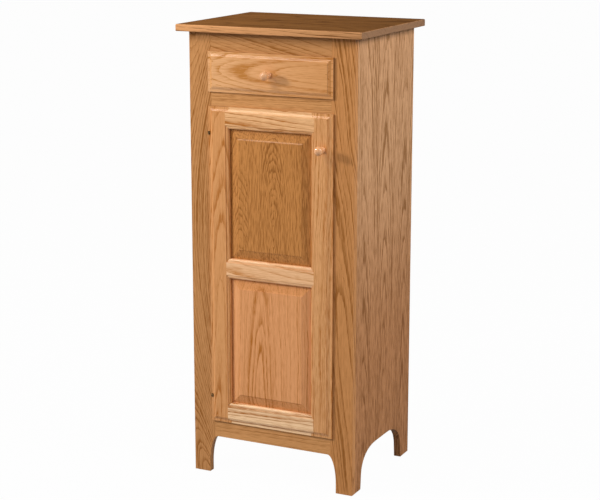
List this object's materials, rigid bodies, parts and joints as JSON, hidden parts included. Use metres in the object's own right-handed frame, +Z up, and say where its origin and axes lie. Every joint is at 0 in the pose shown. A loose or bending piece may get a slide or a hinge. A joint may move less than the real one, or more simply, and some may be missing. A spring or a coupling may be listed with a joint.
{
  "type": "pie safe",
  "caption": "Tall narrow oak cupboard on cut-out feet with an overhanging top, a moulded drawer over a hinged raised-panel door, turned wooden knobs and inner shelves",
  "frame": {"origin": "on the floor, at the middle of the whole object's footprint", "axes": "+Z up, the front with the door and drawer faces -Y, +X to the right seen from the front"},
  "size_m": [0.528, 0.4416, 1.219],
  "materials": {
    "oak_case": "satin, golden brown stain",
    "oak_side": "satin, golden brown stain",
    "oak_top": "satin, golden brown stain",
    "oak_front": "satin, golden brown stain",
    "oak_panel": "satin, golden brown stain",
    "oak_knob": "satin, turned",
    "oak_inside": "matt, clear sealed",
    "drawer_wood": "matt, clear sealed",
    "plywood": "matt, clear sealed",
    "hinge_brass": "aged",
    "fastener_steel": "zinc plated",
    "catch_plastic": "moulded brown",
    "bumper_felt": "brown felt"
  },
  "bodies": {
    "cabinet": {"back_nails": "fastener_steel", "back_panel": "plywood", "back_top_rail": "oak_inside", "cabinet_floor": "oak_inside", "catch_keepers": "fastener_steel", "catch_screws": "fastener_steel", "cleat_screws": "fastener_steel", "drawer_deck": "oak_inside", "drawer_guide_left": "oak_inside", "drawer_guide_right": "oak_inside", "drawer_kicker": "oak_inside", "drawer_stop": "oak_inside", "frame_bottom_rail": "oak_case", "frame_middle_rail": "oak_case", "frame_stile_left": "oak_case", "frame_stile_right": "oak_case", "frame_top_rail": "oak_case", "guide_screws": "fastener_steel", "hinge_frame_leaf_lower": "hinge_brass", "hinge_frame_leaf_upper": "hinge_brass", "hinge_frame_screws": "fastener_steel", "hinge_pin_lower": "hinge_brass", "hinge_pin_upper": "hinge_brass", "magnetic_catch": "catch_plastic", "shelf_1": "oak_inside", "shelf_2": "oak_inside", "side_left": "oak_side", "side_right": "oak_side", "top_board": "oak_top", "top_cleat_left": "oak_inside", "top_cleat_right": "oak_inside", "top_screws": "fastener_steel"},
    "door": {"door_bottom_rail": "oak_front", "door_bumpers": "bumper_felt", "door_knob": "oak_knob", "door_knob_screw": "fastener_steel", "door_middle_rail": "oak_front", "door_panel_lower": "oak_panel", "door_panel_upper": "oak_panel", "door_stile_hinge": "oak_front", "door_stile_knob": "oak_front", "door_top_rail": "oak_front", "hinge_door_leaf_lower": "hinge_brass", "hinge_door_leaf_upper": "hinge_brass", "hinge_door_screws": "fastener_steel", "strike_plate": "fastener_steel", "strike_screw": "fastener_steel"},
    "drawer": {"drawer_back": "drawer_wood", "drawer_bottom": "plywood", "drawer_box_front": "drawer_wood", "drawer_bumpers": "bumper_felt", "drawer_front": "oak_front", "drawer_front_screws": "fastener_steel", "drawer_knob": "oak_knob", "drawer_knob_screw": "fastener_steel", "drawer_side_left": "drawer_wood", "drawer_side_right": "drawer_wood"}
  },
  "joints": [
    {"name": "door_hinge", "type": "hinge", "parent": "cabinet", "child": "door", "pos_m": [-0.1775, -0.1802, 0.58], "axis": [0, 0, -1], "range_deg": [0, 105]},
    {"name": "drawer_slide", "type": "slide", "parent": "cabinet", "child": "drawer", "axis": [0, -1, 0], "range_m": [0, 0.25]}
  ]
}
